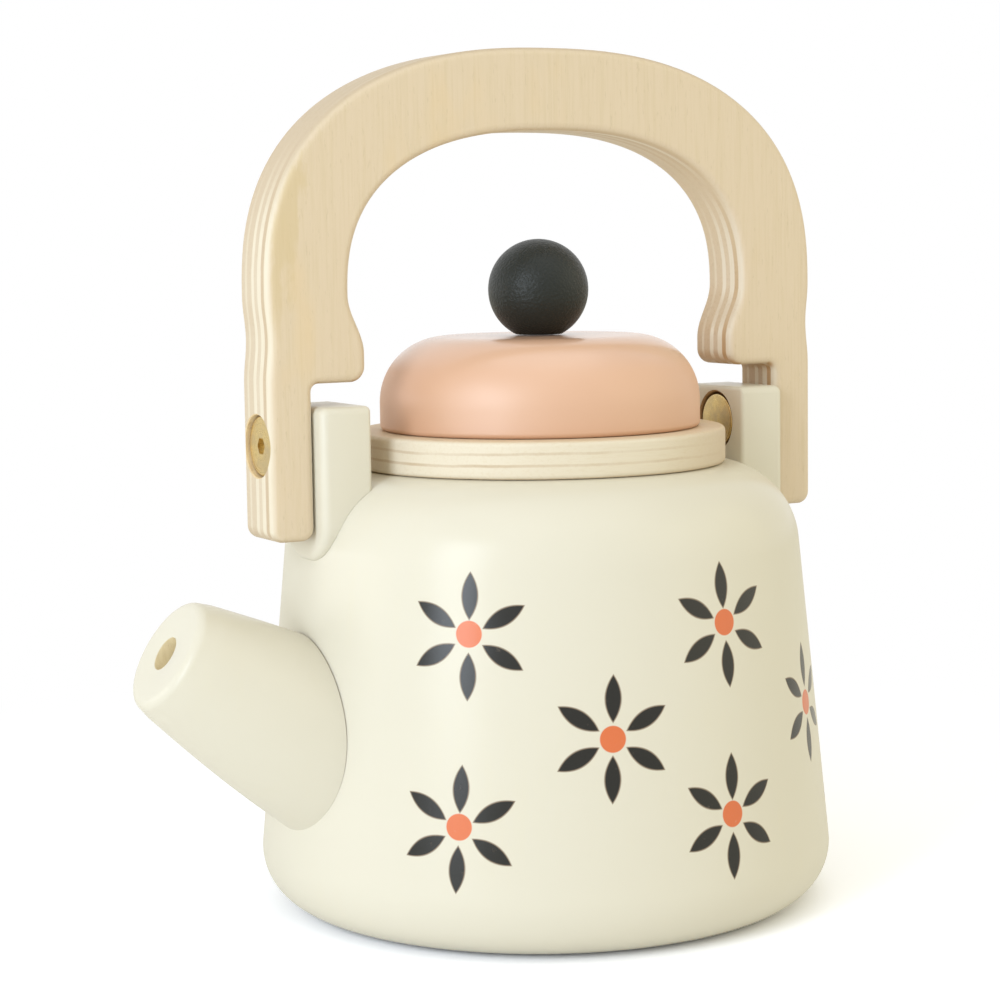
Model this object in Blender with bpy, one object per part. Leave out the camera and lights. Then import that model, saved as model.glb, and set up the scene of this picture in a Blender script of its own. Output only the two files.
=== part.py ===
"""Wooden toy kettle: a turned body with a coped spout and lugs, a plywood swing handle and a lift-off lid.

Metres, +Z up. The kettle stands on Z = 0 with its turning axis on Z. The spout points along -X and the
handle swings about a line along X through the two lugs.
"""

import math

import bmesh
import bpy
from mathutils import Vector

# Body, turned, with a straight flaring side and a bored hollow
BODY_HEIGHT = 0.0872
BODY_FLARE = 0.0085  # how much further out the side's line stands at the base than at the top
BODY_FLOOR = 0.015
SHOULDER_WIDTH = 0.013  # from the ring's edge out to the side's line
SHOULDER_ROUND = 0.0165
BASE_ROUND = 0.011

# Plywood ring on the body, and the lid that rests on it
RING_RADIUS = 0.037
RING_THICKNESS = 0.007
RING_EDGE_ROUND = 0.0008
RING_LEDGE = 0.005  # width of ring left showing round the lid
LID_SEAT = 0.006  # width of ring under the lid
LID_HEIGHT = 0.0182
LID_TOP_ROUND = 0.013
LID_BOTTOM_ROUND = 0.002
DISC_DEPTH = 0.006
DISC_EDGE_ROUND = 0.0008
KNOB_RADIUS = 0.010
KNOB_FLAT_RADIUS = 0.0046
KNOB_DOWEL_RADIUS = 0.003
KNOB_DOWEL_GRIP = 0.006  # depth in the knob
KNOB_DOWEL_SKIN = 0.001  # wood left under the dowel in the locating disc

# Lugs glued on the shoulder
RING_TO_LUG = 0.005
LUG_PROUD = 0.0023  # beyond the side's line at the top
LUG_WIDTH = 0.0196
LUG_COVER = 0.0013  # wood above the nut's recess
LUG_DROP = 0.0148  # below the body's top
LUG_ROUND = 0.0016
LUG_FINE_ROUND = 0.0008  # of the edges beside the ring and across its lower end
LUG_FOOT_ROUND = 0.006  # of the lower corners, seen from the end
PIN_RADIUS = 0.0015
PIN_INSET = 0.005  # from the lug's outer face
PIN_RISE = 0.007  # above the body's top
PIN_DEPTH = 0.014  # below the body's top

# Pivot fasteners: a bolt through each leg into a sleeve nut
HEAD_RADIUS = 0.0057
HEAD_THICKNESS = 0.0015
HEAD_RECESS = 0.00085  # of the head's face below the wood
RECESS_RISE = 0.0005  # of the nut's recess above the body's top
BARREL_RADIUS = 0.004
SHANK_RADIUS = 0.003
NUT_WEB = 0.0018  # solid end of the nut's barrel
SOCKET_ACROSS_FLATS = 0.003
SOCKET_DEPTH = 0.0022
SOCKET_SIDES = 6

# Handle, sawn from plywood
PLY_THICKNESS = 0.0135
LEG_THICKNESS = 0.0088
LEG_DROP = 0.018  # below the pivot
LEG_END_ROUND = 0.0025
STEP_FILLET = 0.0016
NOSE_WIDTH = 0.0201
NOSE_RISE = 0.0054  # widest point of the nose above the step
NOSE_ROUND = 0.003
WAIST_DEPTH = 0.0006
LIMB_WIDTH = 0.0169  # at the arch's springing
SPRING_RISE = 0.0283  # springing above the pivot
HAND_ROOM = 0.0211  # from the knob's top to the arch
ARCH_DEPTH = 0.016  # at the crown
ARCH_EXPONENT = 2.45  # of the superellipse
HANDLE_EDGE_ROUND = 0.0015

# Spout, a turned cone coped to the body's side
SPOUT_ROOT_HEIGHT = 0.0395  # where its axis meets the side
SPOUT_LENGTH = 0.0311  # along its axis, side to tip
SPOUT_PITCH = math.radians(32)  # above level
SPOUT_ROOT_RADIUS = 0.0158
SPOUT_TIP_RADIUS = 0.0114
SPOUT_BELLY = 0.0012  # how far the side bows out of straight
SPOUT_TIP_ROUND = 0.002
SPOUT_HOLE_RADIUS = 0.0033
SPOUT_HOLE_DEPTH = 0.008
SPOUT_DOWEL_RADIUS = 0.004
SPOUT_DOWEL_GRIP = 0.012  # depth in the spout and in the body

# Clearances
SEAT_GAP = 0.0002  # between flat seated faces
COPE_GAP = 0.0003  # between a coped end and the body
DOWEL_GAP = 0.00015  # round a dowel or pin and past its ends
DISC_PLAY = 0.0005  # round the lid's locating disc
SWING_GAP = 0.0003  # between lug and leg
RUNNING_GAP = 0.0001  # between leg and fastener
HEAD_GAP = 0.0003  # round a fastener's head
STEP_CLEARANCE = 0.0001  # between the swinging step and the lug's corner

# Mesh fineness
TURN_STEPS = 56
SMALL_STEPS = 28
ROUND_STEPS = 4
SMALL_ROUND_STEPS = 2
TURNED_ROUND_STEPS = 7
ARCH_STEPS = 15
BEND_STEPS = 6
MERGE = 0.000001
CUT_MARGIN = 0.002
SHARP_ANGLE = math.radians(35)
RIM_ANGLE = math.radians(60)

# Body and lid, worked out from the sizes above
TOP_RADIUS = RING_RADIUS + SHOULDER_WIDTH
LEAN = math.atan2(BODY_FLARE, BODY_HEIGHT)
LID_RADIUS = RING_RADIUS - RING_LEDGE
BORE_RADIUS = LID_RADIUS - LID_SEAT
DISC_RADIUS = BORE_RADIUS - DISC_PLAY
RING_BOTTOM = BODY_HEIGHT + SEAT_GAP
LID_BOTTOM = RING_BOTTOM + RING_THICKNESS + SEAT_GAP
LID_TOP = LID_BOTTOM + LID_HEIGHT
KNOB_SEAT = math.sqrt(KNOB_RADIUS**2 - KNOB_FLAT_RADIUS**2)  # ball's centre to its flat
KNOB_CENTRE = LID_TOP + SEAT_GAP + KNOB_SEAT

# Stations along X at each pivot, and heights about it
RECESS_RADIUS = HEAD_RADIUS + HEAD_GAP
RECESS_DEPTH = HEAD_RECESS + HEAD_THICKNESS + RUNNING_GAP
BARREL_HOLE_RADIUS = BARREL_RADIUS + RUNNING_GAP
PIVOT_HEIGHT = BODY_HEIGHT + RECESS_RISE + RECESS_RADIUS
LUG_INNER = RING_RADIUS + RING_TO_LUG
LUG_OUTER = TOP_RADIUS + LUG_PROUD
LEG_INNER = LUG_OUTER + SWING_GAP
LEG_OUTER = LEG_INNER + LEG_THICKNESS
NUT_HEAD_BACK = LUG_INNER + HEAD_RECESS + HEAD_THICKNESS
BOLT_HEAD_BACK = LEG_OUTER - HEAD_RECESS - HEAD_THICKNESS
LUG_TOP = RECESS_RADIUS + LUG_COVER  # above the pivot
LUG_CORNER_SWING = LUG_ROUND + math.hypot(LUG_WIDTH / 2 - LUG_ROUND, LUG_TOP - LUG_ROUND)
STEP_RISE = LUG_CORNER_SWING + STEP_CLEARANCE
PIN_X = LUG_OUTER - PIN_INSET
PIN_Y = (BARREL_HOLE_RADIUS + LUG_WIDTH / 2) / 2

FINISHES = {  # linear colour, roughness, metallic
    "cream_paint": ((0.88, 0.85, 0.70), 0.42, 0.0),
    "peach_paint": ((0.80, 0.50, 0.36), 0.42, 0.0),
    "charcoal_paint": ((0.035, 0.036, 0.032), 0.45, 0.0),
    "birch_ply": ((0.74, 0.61, 0.42), 0.55, 0.0),
    "beech": ((0.66, 0.48, 0.29), 0.6, 0.0),
    "brass": ((0.56, 0.40, 0.17), 0.35, 1.0),
}


def clear_scene():
    for obj in list(bpy.data.objects):
        bpy.data.objects.remove(obj, do_unlink=True)


def make_materials():
    materials = {}
    for name, (colour, roughness, metallic) in FINISHES.items():
        material = bpy.data.materials.new(name)
        material.use_nodes = True
        shader = material.node_tree.nodes["Principled BSDF"]
        shader.inputs["Base Color"].default_value = (*colour, 1)
        shader.inputs["Roughness"].default_value = roughness
        shader.inputs["Metallic"].default_value = metallic
        materials[name] = material
    return materials


def add_object(name, mesh, material=None, parent=None, location=(0, 0, 0), rotation=(0, 0, 0)):
    if material:
        mesh.materials.append(material)
    obj = bpy.data.objects.new(name, mesh)
    bpy.context.scene.collection.objects.link(obj)
    obj.parent = parent
    obj.location = location
    obj.rotation_euler = rotation
    return obj


def add_empty(name, location, parent=None):
    return add_object(name, None, parent=parent, location=location)


def add_cutter(name, mesh, location=(0, 0, 0), rotation=(0, 0, 0)):
    cutter = add_object(name, mesh, location=location, rotation=rotation)
    cutter.hide_render = True
    cutter.display_type = "WIRE"
    return cutter


def cut(target, cutter):
    boolean = target.modifiers.new(cutter.name, "BOOLEAN")
    boolean.operation = "DIFFERENCE"
    boolean.solver = "EXACT"
    boolean.object = cutter


def arc(centre, radius, start, end, steps):
    """Points on a circle from one angle to another, both ends included."""
    points = []
    for step in range(steps + 1):
        angle = start + (end - start) * step / steps
        points.append((centre[0] + radius * math.cos(angle), centre[1] + radius * math.sin(angle)))
    return points


def mesh_from(name, bm):
    """A finished mesh: faces outwards, smooth but for its sharp edges."""
    bmesh.ops.remove_doubles(bm, verts=bm.verts, dist=MERGE)
    bmesh.ops.recalc_face_normals(bm, faces=bm.faces)
    mesh = bpy.data.meshes.new(name)
    bm.to_mesh(mesh)
    bm.free()
    mesh.shade_smooth()
    mesh.set_sharp_from_angle(angle=SHARP_ANGLE)
    return mesh


def turned_mesh(name, profile, closed=False, steps=TURN_STEPS):
    """A (radius, height) profile turned once about Z. An open one starts and ends on the axis."""
    bm = bmesh.new()
    verts = [bm.verts.new((radius, 0, height)) for radius, height in profile]
    pairs = list(zip(verts, verts[1:]))
    if closed:
        pairs.append((verts[-1], verts[0]))
    edges = [bm.edges.new(pair) for pair in pairs]
    bmesh.ops.spin(
        bm, geom=verts + edges, cent=(0, 0, 0), axis=(0, 0, 1), angle=math.tau, steps=steps, use_merge=True
    )
    return mesh_from(name, bm)


def rod_mesh(name, radius, low, high):
    return turned_mesh(name, [(0, high), (radius, high), (radius, low), (0, low)], steps=SMALL_STEPS)


def side_radius(height):
    """Radius of the body's straight side at a height."""
    return TOP_RADIUS + BODY_FLARE * (1 - height / BODY_HEIGHT)


def body_outside(grow=0.0):
    """The body's outer profile from the shoulder down to the base, moved outwards by grow."""
    shoulder_height = BODY_HEIGHT - SHOULDER_ROUND
    shoulder = (side_radius(shoulder_height) - SHOULDER_ROUND / math.cos(LEAN), shoulder_height)
    base = (side_radius(BASE_ROUND) - BASE_ROUND / math.cos(LEAN), BASE_ROUND)
    quarter = math.pi / 2
    return arc(shoulder, SHOULDER_ROUND + grow, quarter, LEAN, TURNED_ROUND_STEPS) + arc(
        base, BASE_ROUND + grow, LEAN, -quarter, TURNED_ROUND_STEPS
    )


def make_body(material, parent):
    hollow = [(0, BODY_FLOOR), (BORE_RADIUS, BODY_FLOOR), (BORE_RADIUS, BODY_HEIGHT)]
    mesh = turned_mesh("kettle_body", hollow + body_outside() + [(0, 0)])
    return add_object("kettle_body", mesh, material, parent)


def make_body_cutter():
    """The body's outside grown by the coping clearance, for pieces that are shaped to sit on it."""
    profile = [(0, BODY_HEIGHT + COPE_GAP)] + body_outside(COPE_GAP) + [(0, -COPE_GAP)]
    return add_cutter("cut_body_outside", turned_mesh("cut_body_outside", profile))


def make_ring(material, parent):
    top = RING_THICKNESS
    edge = RING_RADIUS - RING_EDGE_ROUND
    quarter = math.pi / 2
    profile = [(BORE_RADIUS, 0), (BORE_RADIUS, top)]
    profile += arc((edge, top - RING_EDGE_ROUND), RING_EDGE_ROUND, quarter, 0, SMALL_ROUND_STEPS)
    profile += arc((edge, RING_EDGE_ROUND), RING_EDGE_ROUND, 0, -quarter, SMALL_ROUND_STEPS)
    mesh = turned_mesh("rim_ring", profile, closed=True)
    return add_object("rim_ring", mesh, material, parent, location=(0, 0, RING_BOTTOM))


def make_lid(material, parent):
    hole = KNOB_DOWEL_RADIUS + DOWEL_GAP
    quarter = math.pi / 2
    top_centre = (LID_RADIUS - LID_TOP_ROUND, LID_HEIGHT - LID_TOP_ROUND)
    bottom_centre = (LID_RADIUS - LID_BOTTOM_ROUND, LID_BOTTOM_ROUND)
    profile = [(hole, 0), (hole, LID_HEIGHT)]
    profile += arc(top_centre, LID_TOP_ROUND, quarter, 0, TURNED_ROUND_STEPS)
    profile += arc(bottom_centre, LID_BOTTOM_ROUND, 0, -quarter, ROUND_STEPS)
    return add_object("lid", turned_mesh("lid", profile, closed=True), material, parent)


def make_locating_disc(material, parent):
    hole = KNOB_DOWEL_RADIUS + DOWEL_GAP
    edge = (DISC_RADIUS - DISC_EDGE_ROUND, DISC_EDGE_ROUND)
    profile = [(hole, 0), (hole, DISC_DEPTH), (DISC_RADIUS, DISC_DEPTH)]
    profile += arc(edge, DISC_EDGE_ROUND, 0, -math.pi / 2, SMALL_ROUND_STEPS)
    mesh = turned_mesh("lid_locating_disc", profile, closed=True)
    return add_object("lid_locating_disc", mesh, material, parent, location=(0, 0, -SEAT_GAP - DISC_DEPTH))


def make_knob(material, parent):
    hole = KNOB_DOWEL_RADIUS + DOWEL_GAP
    flat_angle = -math.atan2(KNOB_SEAT, KNOB_FLAT_RADIUS)
    hole_end = -KNOB_SEAT + KNOB_DOWEL_GRIP + DOWEL_GAP
    profile = arc((0, 0), KNOB_RADIUS, math.pi / 2, flat_angle, 2 * TURNED_ROUND_STEPS)
    profile[0] = (0, KNOB_RADIUS)
    profile += [(hole, -KNOB_SEAT), (hole, hole_end), (0, hole_end)]
    mesh = turned_mesh("lid_knob", profile, steps=SMALL_STEPS)
    return add_object("lid_knob", mesh, material, parent, location=(0, 0, KNOB_CENTRE - LID_BOTTOM))


def make_knob_dowel(material, parent):
    low = -SEAT_GAP - DISC_DEPTH + KNOB_DOWEL_SKIN
    high = LID_HEIGHT + SEAT_GAP + KNOB_DOWEL_GRIP
    return add_object("knob_dowel", rod_mesh("knob_dowel", KNOB_DOWEL_RADIUS, low, high), material, parent)


def lug_hole_mesh(name):
    """The stepped hole through a lug: the nut's recess on the inner face, then the barrel's hole."""
    floor = LUG_INNER + RECESS_DEPTH
    start = LUG_INNER - CUT_MARGIN
    end = LUG_OUTER + CUT_MARGIN
    profile = [(0, end), (BARREL_HOLE_RADIUS, end), (BARREL_HOLE_RADIUS, floor)]
    profile += [(RECESS_RADIUS, floor), (RECESS_RADIUS, start), (0, start)]
    return turned_mesh(name, profile, steps=SMALL_STEPS)


def leg_hole_mesh(name):
    """The stepped hole through a leg: the barrel's hole, then the bolt head's recess."""
    floor = LEG_OUTER - RECESS_DEPTH
    start = LEG_INNER - CUT_MARGIN
    end = LEG_OUTER + CUT_MARGIN
    profile = [(0, end), (RECESS_RADIUS, end), (RECESS_RADIUS, floor)]
    profile += [(BARREL_HOLE_RADIUS, floor), (BARREL_HOLE_RADIUS, start), (0, start)]
    return turned_mesh(name, profile, steps=SMALL_STEPS)


def along_pivot(side):
    """Location and rotation that put a turned piece's axis on the pivot line, pointing out on that side."""
    return {"location": (0, 0, PIVOT_HEIGHT), "rotation": (0, side * math.pi / 2, 0)}


def make_lug(name, side, body, body_cutter, materials, parent):
    """A lug coped to the shoulder, with its two pins down into the body."""
    top = PIVOT_HEIGHT + LUG_TOP
    bottom = BODY_HEIGHT - LUG_DROP
    size = Vector((LUG_OUTER - LUG_INNER, LUG_WIDTH, top - bottom))
    bm = bmesh.new()
    bmesh.ops.create_cube(bm, size=1)
    bmesh.ops.scale(bm, vec=size, verts=bm.verts)
    weights = bm.edges.layers.float.new("bevel_weight_edge")
    for edge in bm.edges:
        middle = (edge.verts[0].co + edge.verts[1].co) / 2
        if middle.x == 0 and middle.z < 0:
            radius = LUG_FOOT_ROUND
        elif side * middle.x < 0 or (middle.y == 0 and middle.z < 0):
            radius = LUG_FINE_ROUND
        else:
            radius = LUG_ROUND
        edge[weights] = radius / LUG_FOOT_ROUND
    centre = (side * (LUG_INNER + LUG_OUTER) / 2, 0, (top + bottom) / 2)
    lug = add_object(name, mesh_from(name, bm), materials["cream_paint"], parent, location=centre)
    bevel = lug.modifiers.new("Rounded edges", "BEVEL")
    bevel.width = LUG_FOOT_ROUND
    bevel.segments = ROUND_STEPS
    bevel.limit_method = "WEIGHT"
    cut(lug, body_cutter)
    hole_name = "cut_" + name + "_pivot"
    cut(lug, add_cutter(hole_name, lug_hole_mesh(hole_name), **along_pivot(side)))
    low = BODY_HEIGHT - PIN_DEPTH
    high = BODY_HEIGHT + PIN_RISE
    for number, y in enumerate((-PIN_Y, PIN_Y), start=1):
        place = (side * PIN_X, y, 0)
        pin_name = f"{name}_pin_{number}"
        pin_mesh = rod_mesh(pin_name, PIN_RADIUS, low, high)
        add_object(pin_name, pin_mesh, materials["beech"], parent, location=place)
        socket_mesh = rod_mesh("cut_" + pin_name, PIN_RADIUS + DOWEL_GAP, low - DOWEL_GAP, high + DOWEL_GAP)
        socket = add_cutter("cut_" + pin_name, socket_mesh, location=place)
        cut(lug, socket)
        cut(body, socket)
    return lug


def make_sleeve_nut(name, side, material, parent):
    """A flat-headed nut in the lug's inner face, whose barrel carries the leg."""
    face = LUG_INNER + HEAD_RECESS
    barrel_end = BOLT_HEAD_BACK - SEAT_GAP
    thread = SHANK_RADIUS + DOWEL_GAP
    thread_end = NUT_HEAD_BACK + NUT_WEB
    profile = [(0, thread_end), (thread, thread_end), (thread, barrel_end), (BARREL_RADIUS, barrel_end)]
    profile += [(BARREL_RADIUS, NUT_HEAD_BACK), (HEAD_RADIUS, NUT_HEAD_BACK), (HEAD_RADIUS, face), (0, face)]
    mesh = turned_mesh(name, profile, steps=SMALL_STEPS)
    return add_object(name, mesh, material, parent, **along_pivot(side))


def make_pivot_bolt(name, side, material, parent):
    """A flat-headed bolt with a hexagon socket, screwed into the sleeve nut."""
    face = BOLT_HEAD_BACK + HEAD_THICKNESS
    tip = NUT_HEAD_BACK + NUT_WEB + SEAT_GAP
    profile = [(0, face), (HEAD_RADIUS, face), (HEAD_RADIUS, BOLT_HEAD_BACK)]
    profile += [(SHANK_RADIUS, BOLT_HEAD_BACK), (SHANK_RADIUS, tip), (0, tip)]
    mesh = turned_mesh(name, profile, steps=SMALL_STEPS)
    bolt = add_object(name, mesh, material, parent, **along_pivot(side))
    corner = SOCKET_ACROSS_FLATS / 2 / math.cos(math.pi / SOCKET_SIDES)
    high = face + CUT_MARGIN
    low = face - SOCKET_DEPTH
    socket_name = "cut_" + name + "_socket"
    socket_profile = [(0, high), (corner, high), (corner, low), (0, low)]
    socket_mesh = turned_mesh(socket_name, socket_profile, steps=SOCKET_SIDES)
    cut(bolt, add_cutter(socket_name, socket_mesh, **along_pivot(side)))
    return bolt


def handle_half_outline():
    """The +X half of the handle's outline as (x, height above the pivot), from crown round to inner crown."""
    crown = KNOB_CENTRE + KNOB_RADIUS + HAND_ROOM + ARCH_DEPTH - PIVOT_HEIGHT
    limb = LEG_OUTER - LIMB_WIDTH
    nose = LEG_OUTER - NOSE_WIDTH
    quarter = math.pi / 2
    power = 2 / ARCH_EXPONENT

    def arch(half_width, top):
        rise = top - SPRING_RISE
        points = [(0, top)]
        for step in range(1, ARCH_STEPS):
            angle = quarter * (1 - step / ARCH_STEPS)
            height = SPRING_RISE + rise * math.sin(angle) ** power
            points.append((half_width * math.cos(angle) ** power, height))
        return points + [(half_width, SPRING_RISE)]

    outline = arch(LEG_OUTER, crown)
    for step in range(1, BEND_STEPS):
        share = step / BEND_STEPS
        height = SPRING_RISE + (STEP_RISE - SPRING_RISE) * share
        outline.append((LEG_OUTER - WAIST_DEPTH * math.sin(math.pi * share) ** 2, height))
    outline.append((LEG_OUTER, STEP_RISE))
    end = -LEG_DROP + LEG_END_ROUND
    outline += arc((LEG_OUTER - LEG_END_ROUND, end), LEG_END_ROUND, 0, -quarter, ROUND_STEPS)
    outline += arc((LEG_INNER + LEG_END_ROUND, end), LEG_END_ROUND, -quarter, -2 * quarter, ROUND_STEPS)
    inside_corner = (LEG_INNER - STEP_FILLET, STEP_RISE - STEP_FILLET)
    outline += arc(inside_corner, STEP_FILLET, 0, quarter, ROUND_STEPS)
    nose_corner = (nose + NOSE_ROUND, STEP_RISE + NOSE_ROUND)
    outline += arc(nose_corner, NOSE_ROUND, -quarter, -2 * quarter, ROUND_STEPS)
    low = STEP_RISE + NOSE_RISE
    for step in range(BEND_STEPS):
        share = step / BEND_STEPS
        ease = (1 - math.cos(math.pi * share)) / 2
        outline.append((nose + (limb - nose) * ease, low + (SPRING_RISE - low) * share))
    return outline + arch(limb, crown - ARCH_DEPTH)[::-1]


def make_handle(material, pivot):
    half = handle_half_outline()
    outline = half + [(-x, height) for x, height in reversed(half[1:-1])]
    bm = bmesh.new()
    near = bm.faces.new([bm.verts.new((x, -PLY_THICKNESS / 2, height)) for x, height in outline])
    grown = bmesh.ops.extrude_face_region(bm, geom=[near])["geom"]
    moved = [item for item in grown if isinstance(item, bmesh.types.BMVert)]
    bmesh.ops.translate(bm, verts=moved, vec=(0, PLY_THICKNESS, 0))
    handle = add_object("handle", mesh_from("handle", bm), material, pivot)
    bevel = handle.modifiers.new("Rounded edges", "BEVEL")
    bevel.width = HANDLE_EDGE_ROUND
    bevel.segments = SMALL_ROUND_STEPS
    bevel.limit_method = "ANGLE"
    bevel.angle_limit = RIM_ANGLE
    for side, end in ((-1, "front"), (1, "rear")):
        hole_name = f"cut_{end}_leg_pivot"
        cut(handle, add_cutter(hole_name, leg_hole_mesh(hole_name), **along_pivot(side)))
    return handle


def make_spout(body, body_cutter, materials, parent):
    """A cone turned about its own axis, coped to the side and dowelled to the body."""
    root = Vector((-side_radius(SPOUT_ROOT_HEIGHT), 0, SPOUT_ROOT_HEIGHT))
    place = {"location": root, "rotation": (0, SPOUT_PITCH - math.pi / 2, 0)}
    taper = (SPOUT_ROOT_RADIUS - SPOUT_TIP_RADIUS) / SPOUT_LENGTH
    tail = -SPOUT_ROOT_RADIUS * (1 + math.sin(SPOUT_PITCH))  # end inside the body, clear of the cope
    hole_end = SPOUT_LENGTH - SPOUT_HOLE_DEPTH
    rim = (SPOUT_TIP_RADIUS - SPOUT_TIP_ROUND, SPOUT_LENGTH - SPOUT_TIP_ROUND)
    profile = [(0, hole_end), (SPOUT_HOLE_RADIUS, hole_end), (SPOUT_HOLE_RADIUS, SPOUT_LENGTH)]
    profile += arc(rim, SPOUT_TIP_ROUND, math.pi / 2, math.atan(taper), ROUND_STEPS)
    for step in range(1, BEND_STEPS + 1):
        share = step / BEND_STEPS
        along = rim[1] + (tail - rim[1]) * share
        belly = SPOUT_BELLY * math.sin(math.pi * share)
        profile.append((SPOUT_ROOT_RADIUS - taper * along + belly, along))
    profile.append((0, tail))
    spout = add_object("spout", turned_mesh("spout", profile), materials["cream_paint"], parent, **place)
    cut(spout, body_cutter)
    grip = SPOUT_DOWEL_GRIP
    dowel_mesh = rod_mesh("spout_dowel", SPOUT_DOWEL_RADIUS, -grip, grip)
    add_object("spout_dowel", dowel_mesh, materials["beech"], parent, **place)
    reach = grip + DOWEL_GAP
    socket_mesh = rod_mesh("cut_spout_dowel", SPOUT_DOWEL_RADIUS + DOWEL_GAP, -reach, reach)
    socket = add_cutter("cut_spout_dowel", socket_mesh, **place)
    cut(spout, socket)
    cut(body, socket)
    return spout


def main():
    clear_scene()
    materials = make_materials()
    kettle = add_empty("kettle_base", (0, 0, 0))
    pivot = add_empty("handle_pivot", (0, 0, PIVOT_HEIGHT), kettle)
    lift = add_empty("lid_lift", (0, 0, LID_BOTTOM), kettle)

    body = make_body(materials["cream_paint"], kettle)
    body_cutter = make_body_cutter()
    make_ring(materials["birch_ply"], kettle)
    make_spout(body, body_cutter, materials, kettle)
    for side, end in ((-1, "front"), (1, "rear")):
        make_lug(f"{end}_lug", side, body, body_cutter, materials, kettle)
        make_sleeve_nut(f"{end}_sleeve_nut", side, materials["brass"], kettle)
        make_pivot_bolt(f"{end}_pivot_bolt", side, materials["brass"], kettle)
    make_handle(materials["birch_ply"], pivot)
    make_lid(materials["peach_paint"], lift)
    make_locating_disc(materials["birch_ply"], lift)
    make_knob(materials["charcoal_paint"], lift)
    make_knob_dowel(materials["beech"], lift)


main()
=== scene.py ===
import math

import bpy
from mathutils import Matrix, Vector


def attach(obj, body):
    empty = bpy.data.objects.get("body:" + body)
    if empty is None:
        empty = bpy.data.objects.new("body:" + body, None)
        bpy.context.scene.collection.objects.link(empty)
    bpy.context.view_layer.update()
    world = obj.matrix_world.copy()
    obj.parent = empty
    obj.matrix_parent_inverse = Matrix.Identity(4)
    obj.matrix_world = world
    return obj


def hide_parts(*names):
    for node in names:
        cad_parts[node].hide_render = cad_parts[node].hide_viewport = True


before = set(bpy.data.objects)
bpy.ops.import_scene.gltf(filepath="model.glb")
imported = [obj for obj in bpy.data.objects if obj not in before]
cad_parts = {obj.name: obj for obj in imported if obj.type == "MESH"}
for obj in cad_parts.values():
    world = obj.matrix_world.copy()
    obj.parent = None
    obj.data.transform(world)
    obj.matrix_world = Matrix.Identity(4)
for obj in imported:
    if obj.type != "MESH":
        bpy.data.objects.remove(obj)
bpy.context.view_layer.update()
print("frame loaded")


# Small helpers for drawing and cutting

mergeReach = 0.000002  # vertices nearer than this become one


def deselect():
    bpy.ops.object.select_all(action="DESELECT")


def pick(piece):
    deselect()
    piece.select_set(True)
    bpy.context.view_layer.objects.active = piece


def callIt(piece, name):
    piece.name = name
    piece.data.name = name


def drawLine(name, points):
    # a chain of edges, drawn by extruding one vertex
    deselect()
    bpy.ops.mesh.primitive_plane_add(size=0.001)
    piece = bpy.context.object
    callIt(piece, name)
    bpy.ops.object.mode_set(mode="EDIT")
    bpy.ops.mesh.merge(type="CENTER")
    bpy.ops.transform.translate(value=points[0])
    for here, there in zip(points, points[1:]):
        step = Vector(there) - Vector(here)
        bpy.ops.mesh.extrude_region_move(TRANSFORM_OT_translate={"value": step})
    bpy.ops.mesh.select_all(action="SELECT")
    return piece


def tidyMesh():
    # in edit mode: merge what meets, turn the faces outwards
    bpy.ops.mesh.select_all(action="SELECT")
    bpy.ops.mesh.remove_doubles(threshold=mergeReach)
    bpy.ops.mesh.normals_make_consistent(inside=False)
    bpy.ops.object.mode_set(mode="OBJECT")


def turn(name, profile, steps):
    # profile of (radius, height), turned about Z
    piece = drawLine(name, [(radius, 0, height) for radius, height in profile])
    bpy.ops.mesh.spin(steps=steps, angle=math.tau, center=(0, 0, 0), axis=(0, 0, 1))
    tidyMesh()
    return piece


def roundOff(corners, steps, lead=0.0003):
    # corners of (x, y, radius): each radius becomes an arc with a short straight lead at both ends
    points = []
    for index, (x, y, radius) in enumerate(corners):
        here = Vector((x, y))
        if not radius:
            points.append(here)
            continue
        back = (Vector(corners[index - 1][:2]) - here).normalized()
        on = (Vector(corners[(index + 1) % len(corners)][:2]) - here).normalized()
        half = back.angle(on) / 2
        centre = here + (back + on).normalized() * radius / math.sin(half)
        first = here + back * radius / math.tan(half) - centre
        last = here + on * radius / math.tan(half) - centre
        sweep = first.angle_signed(last)
        points.append(centre + first + back * lead)
        for step in range(steps + 1):
            points.append(centre + Matrix.Rotation(-sweep * step / steps, 2) @ first)
        points.append(centre + last + on * lead)
    return [tuple(point) for point in points]


def place(piece, location=(0, 0, 0), turned=(0, 0, 0)):
    pick(piece)
    piece.location = location
    piece.rotation_euler = turned
    bpy.ops.object.transform_apply(location=True, rotation=True, scale=True)
    return piece


def useModifier(piece, kind, **settings):
    pick(piece)
    modifier = piece.modifiers.new(kind.lower(), kind)
    for key, value in settings.items():
        setattr(modifier, key, value)
    bpy.ops.object.modifier_apply(modifier=modifier.name)


def cutAway(piece, *cutters):
    for cutter in cutters:
        useModifier(piece, "BOOLEAN", operation="DIFFERENCE", solver="EXACT", object=cutter)


def roundEdges(piece, widest, segments, radiusOf):
    # bevels each edge by the radius that radiusOf gives for its two ends
    layer = piece.data.attributes.get("bevel_weight_edge")
    weights = layer or piece.data.attributes.new("bevel_weight_edge", "FLOAT", "EDGE")
    for edge in piece.data.edges:
        first, second = (piece.data.vertices[index].co for index in edge.vertices)
        weights.data[edge.index].value = radiusOf(first, second) / widest
    useModifier(piece, "BEVEL", width=widest, segments=segments, limit_method="WEIGHT")


def drop(*helpers):
    for helper in helpers:
        bpy.data.objects.remove(helper, do_unlink=True)


def dress(piece, body, nodes, slot, *materials, smooth=30):
    pick(piece)
    bpy.ops.object.shade_smooth_by_angle(angle=math.radians(smooth))
    piece.data.materials.clear()
    for material in materials:
        piece.data.materials.append(material)
    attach(piece, body)
    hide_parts(*nodes)
    return piece


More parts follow.
